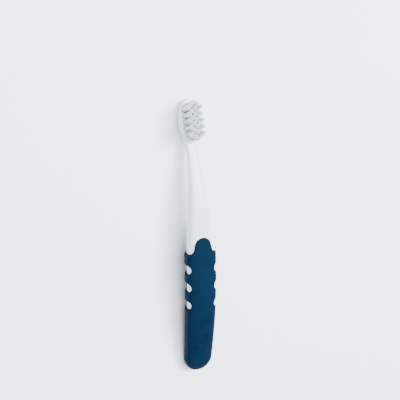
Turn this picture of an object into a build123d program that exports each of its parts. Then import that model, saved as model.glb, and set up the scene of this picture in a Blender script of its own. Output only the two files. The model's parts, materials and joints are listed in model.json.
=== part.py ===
from build123d import *
from math import copysign, cos, pi, radians, sin
import os

# Toothbrush for a pet: a white moulded core with an oval brush head, a soft grip moulded over its
# handle, and tufts of bristles, each folded over a flat metal anchor and driven into a blind hole.
# Millimetres. The brush lies on its back: +Y runs from the butt to the head, +Z is the bristle side,
# and the origin is the middle of the underside of its box.
# A place on the brush is (x, s, n): x across, s along the centre line from the butt, n out of it
# towards the bristles.

# Centre line: a long arch over the grip, a tighter one along the neck, then straight through the head
BUTT_SLOPE = 14.8          # degrees that the butt end climbs
GRIP_ARCH_RADIUS = 340.0
NECK_ARCH_RADIUS = 152.0
NECK_ARCH_START = 95.0
HEAD_START = 131.0
LENGTH = 163.8             # along the centre line

# Brush head: a flat plate, an oval whose neck end is the shorter half
HEAD_HALF_WIDTH = 5.9
HEAD_TIP_REACH = 13.3      # from its widest place to its tip
HEAD_ROOT_REACH = 11.4     # from its widest place to its neck end
HEAD_FRONT = 3.8
HEAD_BACK = -0.8
HEAD_EDGE_RADIUS = 0.7
HEAD_WAIST = LENGTH - HEAD_TIP_REACH

# Bristle field: columns of round tufts, each half a pitch out of step with the next
TUFT_RADIUS = 0.95
TUFT_PITCH = 3.3           # along a column
COLUMN_PITCH = 1.75
TUFTS_IN_COLUMN = (5, 6, 7, 6, 5)
FIELD_MIDDLE = HEAD_WAIST + 0.5
HOLE_DEPTH = 3.2
BRISTLE_LENGTH = 9.5       # above the plate
ANCHOR_WIDTH = 2.3         # wider than the hole, so its ends bite into the plate
ANCHOR_THICKNESS = 0.25
ANCHOR_HEIGHT = 1.3
ANCHOR_CLEARANCE = 0.3     # above the hole's floor, where the fold of the tuft passes

# Outer shape of the core and of the grip: s, half width, front height, back depth, at a few stations
SECTION_POWER = 3.0        # 2 is an ellipse, more is squarer
SECTION_STEPS = 12         # points round each half of a section
BUTT_STEPS = (12, 25, 38, 52, 66, 80)       # degrees round the butt
FIRST_STRIDE = 2.2         # from section to section past the butt, growing to the last stride
STRIDE_GROWTH = 1.25
LAST_STRIDE = 4.5
CORE_BUTT = 1.4            # the grip closes over the core's end by this much
CORE_BUTT_RADIUS = 7.5
CORE_END = 145.0           # inside the head
CORE_STATIONS = (
    (0.0, 7.5, 3.1, 3.1),
    (20.0, 7.7, 3.7, 3.8),
    (40.0, 7.9, 4.2, 4.2),
    (68.0, 7.9, 4.3, 4.2),
    (80.0, 7.65, 4.3, 4.2),
    (90.0, 7.1, 4.15, 4.0),
    (100.0, 6.2, 3.9, 3.8),
    (110.0, 5.1, 3.5, 3.4),
    (118.0, 4.3, 3.0, 2.9),
    (122.0, 3.95, 2.6, 2.6),
    (125.5, 3.75, 2.2, 2.5),
    (129.0, 3.2, 1.8, 2.4),
    (135.0, 3.1, 1.9, 2.1),
    (145.0, 4.2, 2.4, 0.6),
)
GRIP_BUTT_RADIUS = 8.5
GRIP_END = 92.0            # past the tip of the tongue
GRIP_STATIONS = (
    (0.0, 8.35, 4.0, 4.1),
    (22.0, 8.75, 4.8, 4.9),
    (42.0, 9.15, 5.3, 5.3),
    (62.0, 9.2, 5.4, 5.4),
    (76.0, 9.15, 5.3, 5.3),
    (92.0, 8.8, 4.9, 4.9),
)

# Upper end of the grip, seen from the front: shoulders, then a tongue that runs up the handle
SHOULDER = 77.0
TONGUE_TIP = 86.7
TONGUE_ROOT_HALF_WIDTH = 6.0
TONGUE_TIP_HALF_WIDTH = 3.9
TONGUE_ROOT_RADIUS = 3.6
TONGUE_TIP_RADIUS = 4.6

# Finger notches down each side of the grip, which lay the core bare
NOTCH_RADIUS = 3.3
NOTCH_INSET = 6.95         # from the middle of the brush to the bottom of a notch
NOTCH_TOP = 67.6
NOTCH_PITCH = 10.95
NOTCHES = 3
GRIP_EDGE_RADIUS = 0.5

# Holes through the core that the grip flows into, which lock it on
KEY_RADIUS = 1.8
KEY_PLACES = (16.0, 34.5, 62.1)

# The underside is flattened this deep at the butt and at the head's tip, where the brush rests
REST_FLAT_DEPTH = 0.2

FAR = 40.0                 # past every surface


def centre(s):
    """Height and place of the centre line at s, and its slope in degrees."""
    turn_grip = min(s, NECK_ARCH_START) / GRIP_ARCH_RADIUS
    turn_neck = max(0.0, min(s, HEAD_START) - NECK_ARCH_START) / NECK_ARCH_RADIUS
    start = radians(BUTT_SLOPE)
    waist = start - turn_grip
    end = waist - turn_neck
    straight = max(0.0, s - HEAD_START)
    y = GRIP_ARCH_RADIUS * (sin(start) - sin(waist)) + NECK_ARCH_RADIUS * (sin(waist) - sin(end))
    z = GRIP_ARCH_RADIUS * (cos(waist) - cos(start)) + NECK_ARCH_RADIUS * (cos(end) - cos(waist))
    return y + straight * cos(end), z + straight * sin(end), end


def seat(s, x=0.0):
    """Where a feature sits: its local X is across the brush, Y along it and Z out of its front."""
    y, z, slope = centre(s)
    return Plane(origin=(x, y, z), x_dir=(1, 0, 0), z_dir=(0, -sin(slope), cos(slope)))


def half_section(side, half_width, front, back):
    """One side of a section's outline, from the middle of its front to the middle of its back."""
    points = []
    for step in range(SECTION_STEPS + 1):
        turn = pi * step / SECTION_STEPS
        height = front if cos(turn) > 0 else back
        n = copysign(abs(cos(turn)) ** (2 / SECTION_POWER), cos(turn))
        points.append((side * half_width * abs(sin(turn)) ** (2 / SECTION_POWER), height * n))
    return Spline(*points, tangents=[(side, 0), (-side, 0)])


def cross_section(s, half_width, front, back):
    """A rounded, crowned section square to the centre line."""
    y, z, slope = centre(s)
    across = Plane(origin=(0, y, z), x_dir=(1, 0, 0), z_dir=(0, -cos(slope), -sin(slope)))
    return across * make_face([half_section(side, half_width, front, back) for side in (-1, 1)])


def station_slope(stations, column, i):
    """A slope at station i that keeps the curve from overshooting either neighbour."""
    if i in (0, len(stations) - 1):
        return 0.0
    before = (stations[i][column] - stations[i - 1][column]) / (stations[i][0] - stations[i - 1][0])
    after = (stations[i + 1][column] - stations[i][column]) / (stations[i + 1][0] - stations[i][0])
    return 2 * before * after / (before + after) if before * after > 0 else 0.0


def at_station(stations, s, column):
    """A smooth curve through one column of the stations, read at s."""
    i = max(k for k in range(len(stations) - 1) if stations[k][0] <= s)
    span = stations[i + 1][0] - stations[i][0]
    t = (s - stations[i][0]) / span
    rise = stations[i + 1][column] - stations[i][column]
    start, end = (span * station_slope(stations, column, k) for k in (i, i + 1))
    bend, twist = 3 * rise - 2 * start - end, start + end - 2 * rise
    return stations[i][column] + t * start + t * t * bend + t ** 3 * twist


def section_places(butt, radius, end):
    """Where the sections stand and how far each has swelled from the butt's tip, 0 to 1."""
    places = [(butt + radius * (1 - cos(radians(step))), sin(radians(step))) for step in BUTT_STEPS]
    s, stride = butt + radius, FIRST_STRIDE
    while s < end - stride:
        places.append((s, 1.0))
        s, stride = s + stride, min(LAST_STRIDE, stride * STRIDE_GROWTH)
    return places + [(end, 1.0)]


def handle_shape(stations, butt, radius, end):
    """A lofted handle whose butt is a half circle seen from the front."""
    sections = []
    for s, swell in section_places(butt, radius, end):
        half_width, front, back = (at_station(stations, s, column) for column in (1, 2, 3))
        rise = swell ** 0.5    # the butt stays full in thickness longer than in width
        sections.append(cross_section(s, half_width * swell, front * rise, back * rise))
    return loft(sections)


def head_plate():
    tip = EllipticalCenterArc((0, 0), HEAD_HALF_WIDTH, HEAD_TIP_REACH, start_angle=0, arc_size=180)
    root = EllipticalCenterArc((0, 0), HEAD_HALF_WIDTH, HEAD_ROOT_REACH, start_angle=180, arc_size=180)
    plate = extrude(make_face([tip, root]), HEAD_FRONT - HEAD_BACK)
    ends = plate.faces().sort_by(Axis.Z)
    rims = ends[0].edges() + ends[-1].edges()
    return seat(HEAD_WAIST) * Pos(0, 0, HEAD_BACK) * fillet(rims, HEAD_EDGE_RADIUS)


def tuft_places():
    """Name and place of each tuft, columns from the left and rows from the neck."""
    for column, count in enumerate(TUFTS_IN_COLUMN):
        x = COLUMN_PITCH * (column - (len(TUFTS_IN_COLUMN) - 1) / 2)
        for row in range(count):
            s = FIELD_MIDDLE + TUFT_PITCH * (row - (count - 1) / 2)
            yield f"tuft_c{column + 1}_r{row + 1}", x, s


def tuft_bar(x, s):
    """One tuft as a plain round bar, from the floor of its hole to its tips."""
    length = HOLE_DEPTH + BRISTLE_LENGTH
    bar = Cylinder(TUFT_RADIUS, length, align=(Align.CENTER, Align.CENTER, Align.MIN))
    return seat(s, x) * Pos(0, 0, HEAD_FRONT - HOLE_DEPTH) * bar


def tuft_anchor(x, s):
    """The flat metal piece that pins a tuft's fold, standing across its hole."""
    align = (Align.CENTER, Align.CENTER, Align.MIN)
    flat = Box(ANCHOR_THICKNESS, ANCHOR_WIDTH, ANCHOR_HEIGHT, align=align)
    return seat(s, x) * Pos(0, 0, HEAD_FRONT - HOLE_DEPTH + ANCHOR_CLEARANCE) * flat


def tongue_outline():
    """The grip seen from the front, with its shoulders and its tongue; local Y is the distance s."""
    half = [
        (TONGUE_TIP_HALF_WIDTH, TONGUE_TIP),
        (TONGUE_ROOT_HALF_WIDTH, SHOULDER),
        (FAR, SHOULDER),
        (FAR, -FAR),
    ]
    outline = make_face(Polyline(*half, *[(-x, s) for x, s in reversed(half)], close=True))
    tips = outline.vertices().filter_by(lambda corner: corner.Y > SHOULDER + 1)
    outline = fillet(tips, TONGUE_TIP_RADIUS)
    inner = outline.vertices().filter_by(lambda corner: abs(corner.X) < FAR / 2)
    roots = inner.filter_by(lambda corner: abs(corner.Y - SHOULDER) < 1)
    return fillet(roots, TONGUE_ROOT_RADIUS)


def key_hole(s):
    return seat(s) * Cylinder(KEY_RADIUS, FAR)


def finger_notch(side, s):
    return seat(s, side * (NOTCH_INSET + NOTCH_RADIUS)) * Cylinder(NOTCH_RADIUS, FAR)


def grip_blank():
    """The grip's outer shape, solid right through."""
    at_shoulder = seat(SHOULDER)
    seen_from_front = at_shoulder * Pos(0, -SHOULDER, -FAR) * tongue_outline()
    blank = handle_shape(GRIP_STATIONS, 0.0, GRIP_BUTT_RADIUS, GRIP_END)
    blank = blank & extrude(seen_from_front, 2 * FAR, dir=at_shoulder.z_dir)
    for side in (-1, 1):
        for notch in range(NOTCHES):
            blank -= finger_notch(side, NOTCH_TOP - notch * NOTCH_PITCH)
    cut_walls = ShapeList(blank.faces().sort_by(SortBy.AREA)[:-2])    # all but the two halves of its skin
    rims = cut_walls.edges().filter_by(GeomType.BSPLINE)
    return fillet(rims, GRIP_EDGE_RADIUS)


def build():
    """Every piece by its node's name, before the brush is laid down."""
    tufts = list(tuft_places())
    anchors = [tuft_anchor(x, s) for _, x, s in tufts]
    bars = [tuft_bar(x, s) for _, x, s in tufts]
    keys = [key_hole(s) for s in KEY_PLACES]
    handle = handle_shape(CORE_STATIONS, CORE_BUTT, CORE_BUTT_RADIUS, CORE_END)
    pieces = {
        "handle_core": handle + head_plate() - keys - bars - anchors,
        "grip_overmould": grip_blank() - (handle - keys),
        "tuft_anchors": Compound(children=anchors),
    }
    for (name, _, _), bar, anchor in zip(tufts, bars, anchors):
        pieces[name] = bar - anchor
    return pieces


def laid_down(pieces):
    """The pieces on their resting flats, with the origin in the middle of the underside of their box."""
    body = ("handle_core", "grip_overmould")
    box = Compound([pieces[name] for name in body]).bounding_box()
    rest = box.min.Z + REST_FLAT_DEPTH
    below = Pos(0, 0, rest) * Box(FAR, 3 * LENGTH, FAR, align=(Align.CENTER, Align.CENTER, Align.MAX))
    for name in body:
        pieces[name] -= below
    move = Pos(0, -box.center().Y, -rest)
    return {name: move * piece for name, piece in pieces.items()}


os.makedirs("parts", exist_ok=True)
for node, piece in laid_down(build()).items():
    export_step(piece, f"parts/{node}.step")
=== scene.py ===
import json
import math
import random

import bpy
from mathutils import Matrix, Vector
from mathutils.bvhtree import BVHTree


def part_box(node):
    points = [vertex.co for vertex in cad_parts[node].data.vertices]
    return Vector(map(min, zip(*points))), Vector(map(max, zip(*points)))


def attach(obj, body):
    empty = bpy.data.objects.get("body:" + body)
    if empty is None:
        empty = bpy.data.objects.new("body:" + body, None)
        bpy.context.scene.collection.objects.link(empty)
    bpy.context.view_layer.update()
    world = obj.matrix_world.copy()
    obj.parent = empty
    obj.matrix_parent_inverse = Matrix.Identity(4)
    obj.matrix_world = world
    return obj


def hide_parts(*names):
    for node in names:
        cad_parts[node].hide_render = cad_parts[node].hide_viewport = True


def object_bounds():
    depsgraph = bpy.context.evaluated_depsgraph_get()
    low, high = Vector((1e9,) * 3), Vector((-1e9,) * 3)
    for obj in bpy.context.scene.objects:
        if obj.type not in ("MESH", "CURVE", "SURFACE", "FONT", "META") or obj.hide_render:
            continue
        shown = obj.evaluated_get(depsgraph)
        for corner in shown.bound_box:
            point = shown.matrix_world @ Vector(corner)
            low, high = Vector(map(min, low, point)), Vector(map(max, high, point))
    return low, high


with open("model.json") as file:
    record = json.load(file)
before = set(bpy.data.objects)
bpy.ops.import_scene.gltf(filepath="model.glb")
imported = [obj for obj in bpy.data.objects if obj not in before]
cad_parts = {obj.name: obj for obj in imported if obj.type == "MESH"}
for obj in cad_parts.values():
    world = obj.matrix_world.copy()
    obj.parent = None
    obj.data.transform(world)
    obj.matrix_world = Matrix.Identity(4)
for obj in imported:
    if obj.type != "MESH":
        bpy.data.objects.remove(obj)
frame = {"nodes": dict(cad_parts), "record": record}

# A pet toothbrush lying on its back, bristles up, butt towards -Y and head towards +Y. Metres.
# The core, the grip and the tuft anchors keep their CAD shapes. Every tuft becomes a bundle of
# separate bristles, and the moulding's small details are laid on the CAD surfaces.

MM = 0.001
cad_low, cad_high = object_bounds()
LENGTH = cad_high.y - cad_low.y


# ---------------------------------------------------------------- materials

def new_material(name):
    """A material, its nodes, its links and its shader."""
    material = bpy.data.materials.new(name)
    material.use_nodes = True
    tree = material.node_tree
    return material, tree.nodes, tree.links, tree.nodes["Principled BSDF"]


def object_noise(nodes, links, scale, detail=3.0, stretch=(1, 1, 1)):
    """Noise fixed to the object. Its scale is in features a metre."""
    coordinates = nodes.new("ShaderNodeTexCoord")
    mapping = nodes.new("ShaderNodeMapping")
    mapping.inputs["Scale"].default_value = stretch
    noise = nodes.new("ShaderNodeTexNoise")
    noise.inputs["Scale"].default_value = scale
    noise.inputs["Detail"].default_value = detail
    links.new(coordinates.outputs["Object"], mapping.inputs["Vector"])
    links.new(mapping.outputs["Vector"], noise.inputs["Vector"])
    return noise.outputs["Fac"]


def colour_ramp(nodes, links, value, stops):
    """A value turned into a colour by two (position, (r, g, b)) stops."""
    ramp = nodes.new("ShaderNodeValToRGB")
    for element, (position, colour) in zip(ramp.color_ramp.elements, stops):
        element.position = position
        element.color = (*colour, 1)
    links.new(value, ramp.inputs["Fac"])
    return ramp.outputs["Color"]


def value_range(nodes, links, value, low, high):
    """A 0 to 1 value mapped to low to high."""
    span = nodes.new("ShaderNodeMapRange")
    span.inputs["To Min"].default_value = low
    span.inputs["To Max"].default_value = high
    links.new(value, span.inputs["Value"])
    return span.outputs["Result"]


def add_bump(nodes, links, shader, height, distance, strength=1.0):
    """Surface relief too fine to model. Its distance is in metres."""
    bump = nodes.new("ShaderNodeBump")
    bump.inputs["Strength"].default_value = strength
    bump.inputs["Distance"].default_value = distance
    links.new(height, bump.inputs["Height"])
    links.new(bump.outputs["Normal"], shader.inputs["Normal"])


def white_plastic():
    """Satin moulded white plastic: a faint cool mottle, flow lines along it and a fine moulded grain."""
    material, nodes, links, shader = new_material("white_plastic")
    mottle = object_noise(nodes, links, scale=60, stretch=(1, 0.25, 1))
    tint = colour_ramp(nodes, links, mottle, [(0.3, (0.62, 0.70, 0.79)), (0.7, (0.68, 0.75, 0.83))])
    links.new(tint, shader.inputs["Base Color"])
    flow = object_noise(nodes, links, scale=350, stretch=(1, 0.15, 1))
    links.new(value_range(nodes, links, flow, low=0.26, high=0.38), shader.inputs["Roughness"])
    grain = object_noise(nodes, links, scale=5200, detail=2)
    add_bump(nodes, links, shader, grain, distance=0.006 * MM, strength=0.5)
    shader.inputs["Subsurface Weight"].default_value = 0.12
    shader.inputs["Subsurface Radius"].default_value = (0.9, 1.0, 1.2)
    shader.inputs["Subsurface Scale"].default_value = 1.2 * MM
    shader.inputs["IOR"].default_value = 1.49
    return material


def soft_rubber():
    """Matte navy thermoplastic rubber: uneven gloss from handling and a fine spark-eroded grain."""
    material, nodes, links, shader = new_material("soft_rubber")
    mottle = object_noise(nodes, links, scale=90, detail=4)
    darker = (0.0012, 0.0092, 0.0235)
    lighter = (0.0018, 0.0120, 0.0300)
    tint = colour_ramp(nodes, links, mottle, [(0.3, darker), (0.7, lighter)])
    links.new(tint, shader.inputs["Base Color"])
    handling = object_noise(nodes, links, scale=160, detail=5)
    links.new(value_range(nodes, links, handling, low=0.46, high=0.62), shader.inputs["Roughness"])
    grain = object_noise(nodes, links, scale=3800, detail=3)
    add_bump(nodes, links, shader, grain, distance=0.02 * MM, strength=0.6)
    shader.inputs["Specular IOR Level"].default_value = 0.03
    shader.inputs["IOR"].default_value = 1.45
    return material


def bristle_nylon():
    """Translucent white nylon, each bristle a little different along its length."""
    material, nodes, links, shader = new_material("bristle_nylon")
    streaks = object_noise(nodes, links, scale=1500, stretch=(1, 1, 0.12))
    tint = colour_ramp(nodes, links, streaks, [(0.3, (0.80, 0.91, 1.0)), (0.7, (0.90, 0.97, 1.0))])
    links.new(tint, shader.inputs["Base Color"])
    links.new(value_range(nodes, links, streaks, low=0.22, high=0.4), shader.inputs["Roughness"])
    shader.inputs["Subsurface Weight"].default_value = 0.4
    shader.inputs["Subsurface Radius"].default_value = (0.9, 1.0, 1.1)
    shader.inputs["Subsurface Scale"].default_value = 0.9 * MM
    shader.inputs["IOR"].default_value = 1.53
    return material


def anchor_metal():
    """Nickel silver strip, drawn along its length."""
    material, nodes, links, shader = new_material("anchor_metal")
    drawn = object_noise(nodes, links, scale=4000, stretch=(0.05, 1, 1))
    tint = colour_ramp(nodes, links, drawn, [(0.2, (0.56, 0.50, 0.38)), (0.8, (0.74, 0.69, 0.57))])
    links.new(tint, shader.inputs["Base Color"])
    links.new(value_range(nodes, links, drawn, low=0.25, high=0.45), shader.inputs["Roughness"])
    add_bump(nodes, links, shader, drawn, distance=0.004 * MM)
    shader.inputs["Metallic"].default_value = 1.0
    return material


def pale_floor():
    """Matt, nearly white paper."""
    material, nodes, links, shader = new_material("pale_floor")
    paper = object_noise(nodes, links, scale=8)
    tint = colour_ramp(nodes, links, paper, [(0.3, (0.86, 0.91, 0.95)), (0.7, (0.89, 0.94, 0.98))])
    links.new(tint, shader.inputs["Base Color"])
    shader.inputs["Roughness"].default_value = 0.9
    return material


def wear(piece, material):
    """Gives a piece one material all over."""
    piece.data.materials.clear()
    piece.data.materials.append(material)


# ---------------------------------------------------------------- pieces

def stitch(faces, first, rings, corners):
    """Adds the sides and the two ends of a tube made of rings of points."""
    for ring in range(rings - 1):
        low = first + ring * corners
        for corner in range(corners):
            after = (corner + 1) % corners
            faces.append((low + corner, low + after, low + corners + after, low + corners + corner))
    last = first + (rings - 1) * corners
    faces.append(tuple(reversed(range(first, first + corners))))
    faces.append(tuple(range(last, last + corners)))


def mesh_piece(name, points, faces, material):
    """A smooth-shaded mesh that rides on the brush."""
    mesh = bpy.data.meshes.new(name)
    mesh.from_pydata(points, [], faces)
    mesh.validate()
    mesh.polygons.foreach_set("use_smooth", [True] * len(mesh.polygons))
    piece = bpy.data.objects.new(name, mesh)
    bpy.context.scene.collection.objects.link(piece)
    wear(piece, material)
    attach(piece, "root")
    return piece


# ---------------------------------------------------------------- bristles

# The head's front faces away from the flat back that the record's mount names
HEAD_BACK = next(mount for mount in frame["record"]["mounts"] if mount["name"] == "head_back")
BRISTLE_UP = -Vector(HEAD_BACK["axis"]).normalized()
ACROSS = Vector((1, 0, 0))
ALONG_HEAD = BRISTLE_UP.cross(ACROSS)
HEAD_MIDDLE = Vector(HEAD_BACK["pos_m"])
OUTER_COLUMN = 3.5 * MM    # from the head's middle to its outermost columns of tufts

BRISTLE_RADIUS = 0.09 * MM
THINNEST = 0.92            # the thinnest bristle's size, as a share of that
BRISTLES_IN_TUFT = 60
BRISTLE_SIDES = 6
BRISTLE_RINGS = (0.0, 0.3, 0.55, 0.75, 0.9, 0.985, 1.0)    # places along a bristle
TIP_RING = 0.62            # the last ring's size, which rounds the tip
BURIED = 0.12              # share of a tuft's bar, from its lower end, left out of the bristles
SPLAY = 0.42               # how far the outer bristles lean out, as a share of the tuft's radius
BOW = (-0.4, 0.1)          # how far a bristle bows, inwards to outwards, as shares of its splay
FAN = 0.12                 # how far the outermost columns lean along the head, as a share of the
                           # distance from its middle
WANDER = 0.14 * MM         # how far a bristle strays at its tip
TRIM_SPREAD = 0.25 * MM    # how unevenly the tips are trimmed
GOLDEN_ANGLE = math.radians(137.508)


def outwards(turn):
    """The direction at an angle round a bristle or a tuft, square to the bristles."""
    return math.cos(turn) * ACROSS + math.sin(turn) * ALONG_HEAD


def bristle(points, faces, foot, tip, bow, size):
    """Adds one bristle as a closed tube with a rounded tip."""
    first = len(points)
    for t in BRISTLE_RINGS:
        middle = foot.lerp(tip, t) + bow * math.sin(math.pi * t)
        radius = size * (TIP_RING if t == 1.0 else 1.0)
        for side in range(BRISTLE_SIDES):
            points.append(middle + radius * outwards(math.tau * side / BRISTLE_SIDES))
    stitch(faces, first, len(BRISTLE_RINGS), BRISTLE_SIDES)


def tuft(node, material):
    """Bundles bristles where a CAD tuft stands."""
    low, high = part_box(node)
    radius = (high.x - low.x) / 2
    lean = math.acos(BRISTLE_UP.z)
    length = (high.z - low.z - 2 * radius * math.sin(lean)) / math.cos(lean)
    middle = (low + high) / 2
    foot = middle + BRISTLE_UP * length * (BURIED - 0.5)
    reach = length * (1 - BURIED)
    out_of_middle = (foot - HEAD_MIDDLE).dot(ALONG_HEAD)
    fan = FAN * out_of_middle * min(1.0, abs(foot.x) / OUTER_COLUMN) * ALONG_HEAD
    draw = random.Random(node)
    points, faces = [], []
    for index in range(BRISTLES_IN_TUFT):
        share = math.sqrt((index + 0.5) / BRISTLES_IN_TUFT)
        outward = outwards(index * GOLDEN_ANGLE)
        start = foot + outward * share * (radius - BRISTLE_RADIUS)
        stray = ACROSS * draw.uniform(-WANDER, WANDER) + ALONG_HEAD * draw.uniform(-WANDER, WANDER)
        end = start + BRISTLE_UP * (reach - draw.uniform(0, TRIM_SPREAD))
        end += outward * share * radius * SPLAY + fan + stray
        end.y = min(end.y, cad_high.y - BRISTLE_RADIUS)
        end.z = min(end.z, cad_high.z - BRISTLE_RADIUS)
        bow = outward * draw.uniform(*BOW) * SPLAY * radius * share
        bristle(points, faces, start, end, bow, BRISTLE_RADIUS * draw.uniform(THINNEST, 1.0))
    piece = mesh_piece(node.replace("tuft", "bristles"), points, faces, material)
    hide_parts(node)


# ---------------------------------------------------------------- the moulding's small details

def skin_of(node):
    """The surface of a CAD node, for rays."""
    mesh = frame["nodes"][node].data
    return BVHTree.FromPolygons([v.co for v in mesh.vertices], [tuple(p.vertices) for p in mesh.polygons])


def on_skin(skin, x, y):
    """The highest place on a surface at (x, y), and its normal."""
    return skin.ray_cast(Vector((x, y, cad_high.z)), Vector((0, 0, -1)))[:2]


RIDGE_STEPS = 40
RIDGE_SIDES = 9
RIDGE_HEIGHT = 0.28 * MM
RIDGE_SQUARENESS = 3       # a flattish top with rounded edges
RIDGE_SINK = 0.02 * MM     # how far its edges are under the grip's surface
RIDGE_DEPTH = 0.25 * MM    # how far its foot is sunk into the grip
LEAST_SINE = 0.02          # stops its ends from narrowing to nothing

CRESCENTS_FROM_BUTT = (15.0 * MM, 23.8 * MM)
CRESCENTS_X = -1.0 * MM
# The radius, half the width and the angle of a long crescent and of the short one inside it
NESTED_CRESCENTS = (
    (3.6 * MM, 0.6 * MM, math.radians(200)),
    (1.5 * MM, 0.45 * MM, math.radians(170)),
)


def crescent(points, faces, skin, middle, radius, half_width, span):
    """Adds one raised crescent on the grip's front, open towards the butt."""
    first = len(points)
    for step in range(RIDGE_STEPS + 1):
        t = step / RIDGE_STEPS
        turn = math.pi / 2 + span * (t - 0.5)
        swell = math.sqrt(max(math.sin(math.pi * t), LEAST_SINE))
        arm = Vector((math.cos(turn), math.sin(turn), 0))
        feet = []
        for side in range(RIDGE_SIDES):
            share = 2 * side / (RIDGE_SIDES - 1) - 1
            spot = middle + arm * (radius + share * half_width * swell)
            hit, normal = on_skin(skin, spot.x, spot.y)
            rise = RIDGE_HEIGHT * swell * (1 - abs(share) ** RIDGE_SQUARENESS)
            points.append(hit + normal * (rise - RIDGE_SINK))
            feet.append(hit - normal * RIDGE_DEPTH)
        points.extend((feet[-1], feet[0]))
    stitch(faces, first, RIDGE_STEPS + 1, RIDGE_SIDES + 2)


def grip_relief(material):
    """Two crescents with a short one nested in each, moulded on the grip near the butt."""
    skin = skin_of("grip_overmould")
    for index, from_butt in enumerate(CRESCENTS_FROM_BUTT):
        points, faces = [], []
        middle = Vector((CRESCENTS_X, cad_low.y + from_butt, 0))
        for radius, half_width, span in NESTED_CRESCENTS:
            crescent(points, faces, skin, middle, radius, half_width, span)
        mesh_piece(f"grip_relief_{index + 1}", points, faces, material)


LINE_STEPS = 90
LINE_REACH = (0.565, 0.845)    # where it starts and ends, as shares of the brush's length
LINE_HALF_WIDTH = 0.16 * MM
LINE_HEIGHT = 0.05 * MM
LINE_DEPTH = 0.2 * MM      # how far its two edges go down into the core
LINE_SINK = 0.01 * MM      # how far all of it is set into the core's surface
LINE_TAPER = 0.25          # a low power, so that it fades only near its ends
# Its section from edge to edge: half widths across, place out of the core, height that tapers off
LINE_SECTION = (
    (-1, -LINE_DEPTH, 0),
    (-1, 0, 0),
    (0, 0, LINE_HEIGHT),
    (1, 0, 0),
    (1, -LINE_DEPTH, 0),
)


def neck_side(skin, side, y):
    """The place on one side of the core, half way between its back and its front."""
    front = on_skin(skin, 0, y)[0]
    back = skin.ray_cast(Vector((0, y, cad_low.z - LENGTH)), Vector((0, 0, 1)))[0]
    return skin.ray_cast(Vector((side * LENGTH, y, (front.z + back.z) / 2)), Vector((-side, 0, 0)))[0]


def parting_line(place, side, material):
    """The witness line that the mould's halves leave down one side of the neck."""
    skin = skin_of("handle_core")
    start, end = (cad_low.y + LENGTH * share for share in LINE_REACH)
    points, faces = [], []
    for step in range(LINE_STEPS + 1):
        hit = neck_side(skin, side, start + (end - start) * step / LINE_STEPS)
        taper = math.sin(math.pi * step / LINE_STEPS) ** LINE_TAPER
        # The section is mirrored on the right, so that the faces look outwards on both sides
        for across, level, height in LINE_SECTION:
            out = level + height * taper - LINE_SINK
            points.append(hit + Vector((side * out, 0, -side * across * LINE_HALF_WIDTH)))
    stitch(faces, 0, LINE_STEPS + 1, len(LINE_SECTION))
    mesh_piece(f"parting_line_{place}", points, faces, material)


# ---------------------------------------------------------------- camera, floor and light

# The camera looks down on the brush from the left and from beyond its head
VIEW_FROM_LEFT = math.radians(24)
VIEW_FROM_HEAD = math.radians(14.5)
VIEW_ROLL = math.radians(2.13)
VIEW_DISTANCE = 500 * MM
VIEW_LENS = 80.0
VIEW_SENSOR = 36
AIM_ACROSS = 1.9 * MM
AIM_ALONG = 0.651          # as a share of the brush's length, from its butt
AIM_UP = 12 * MM


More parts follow.
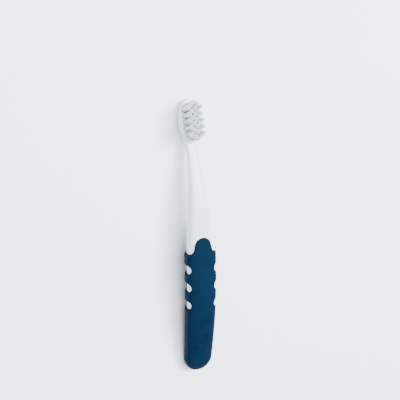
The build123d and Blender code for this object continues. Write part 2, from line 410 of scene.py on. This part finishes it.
def camera():
    """The scene's camera, placed and rolled to match the photo."""
    aim = Vector((AIM_ACROSS, cad_low.y + AIM_ALONG * LENGTH, cad_low.z + AIM_UP))
    back = Vector((
        -math.sin(VIEW_FROM_LEFT) * math.cos(VIEW_FROM_HEAD),
        math.sin(VIEW_FROM_HEAD),
        math.cos(VIEW_FROM_LEFT) * math.cos(VIEW_FROM_HEAD),
    ))
    side = Vector((math.cos(VIEW_FROM_LEFT), 0, math.sin(VIEW_FROM_LEFT)))
    up = back.cross(side).normalized()
    side = up.cross(back)
    right = math.cos(VIEW_ROLL) * side - math.sin(VIEW_ROLL) * up
    up = back.cross(right)
    lens = bpy.data.cameras.new("camera")
    lens.lens = VIEW_LENS
    lens.sensor_width = VIEW_SENSOR
    lens.clip_start = 10 * MM
    eye = bpy.data.objects.new("camera", lens)
    facing = Matrix((right, up, back)).transposed().to_4x4()
    eye.matrix_world = Matrix.Translation(aim + back * VIEW_DISTANCE) @ facing
    bpy.context.scene.collection.objects.link(eye)
    bpy.context.scene.camera = eye


FLOOR_HALF = 2.0           # half its width, in metres


def floor():
    """A square floor under the brush."""
    mesh = bpy.data.meshes.new("floor")
    corners = [(x * FLOOR_HALF, y * FLOOR_HALF, 0) for x, y in ((-1, -1), (1, -1), (1, 1), (-1, 1))]
    mesh.from_pydata(corners, [], [(0, 1, 2, 3)])
    piece = bpy.data.objects.new("floor", mesh)
    piece.location.z = cad_low.z
    bpy.context.scene.collection.objects.link(piece)
    wear(piece, pale_floor())


def area_light(name, place, size, power, colour=(1, 1, 1)):
    """A soft square light that faces the brush. Metres and watts."""
    lamp = bpy.data.lights.new(name, "AREA")
    lamp.size = size
    lamp.energy = power
    lamp.color = colour
    fixture = bpy.data.objects.new(name, lamp)
    fixture.location = place
    fixture.rotation_mode = "QUATERNION"
    fixture.rotation_quaternion = Vector(place).to_track_quat("Z", "Y")
    bpy.context.scene.collection.objects.link(fixture)


def studio():
    """A bright cool surround, a key light from the right and a softer one from above."""
    world = bpy.data.worlds.new("studio")
    world.use_nodes = True
    backdrop = world.node_tree.nodes["Background"]
    backdrop.inputs["Color"].default_value = (0.92, 0.95, 1.0, 1)
    backdrop.inputs["Strength"].default_value = 0.9
    bpy.context.scene.world = world
    area_light("key", place=(0.5, 0.3, 0.8), size=0.45, power=28.0)
    area_light("top", place=(0.0, 0.3, 0.95), size=0.6, power=18.0, colour=(0.95, 0.98, 1.0))


# ---------------------------------------------------------------- the scene

camera()
floor()
studio()

white = white_plastic()
navy = soft_rubber()
nylon = bristle_nylon()
wear(frame["nodes"]["handle_core"], white)
wear(frame["nodes"]["grip_overmould"], navy)
wear(frame["nodes"]["tuft_anchors"], anchor_metal())
for node in sorted(frame["nodes"]):
    if node.startswith("tuft_c"):
        tuft(node, nylon)

grip_relief(navy)
for place, side in (("left", -1), ("right", 1)):
    parting_line(place, side, white)
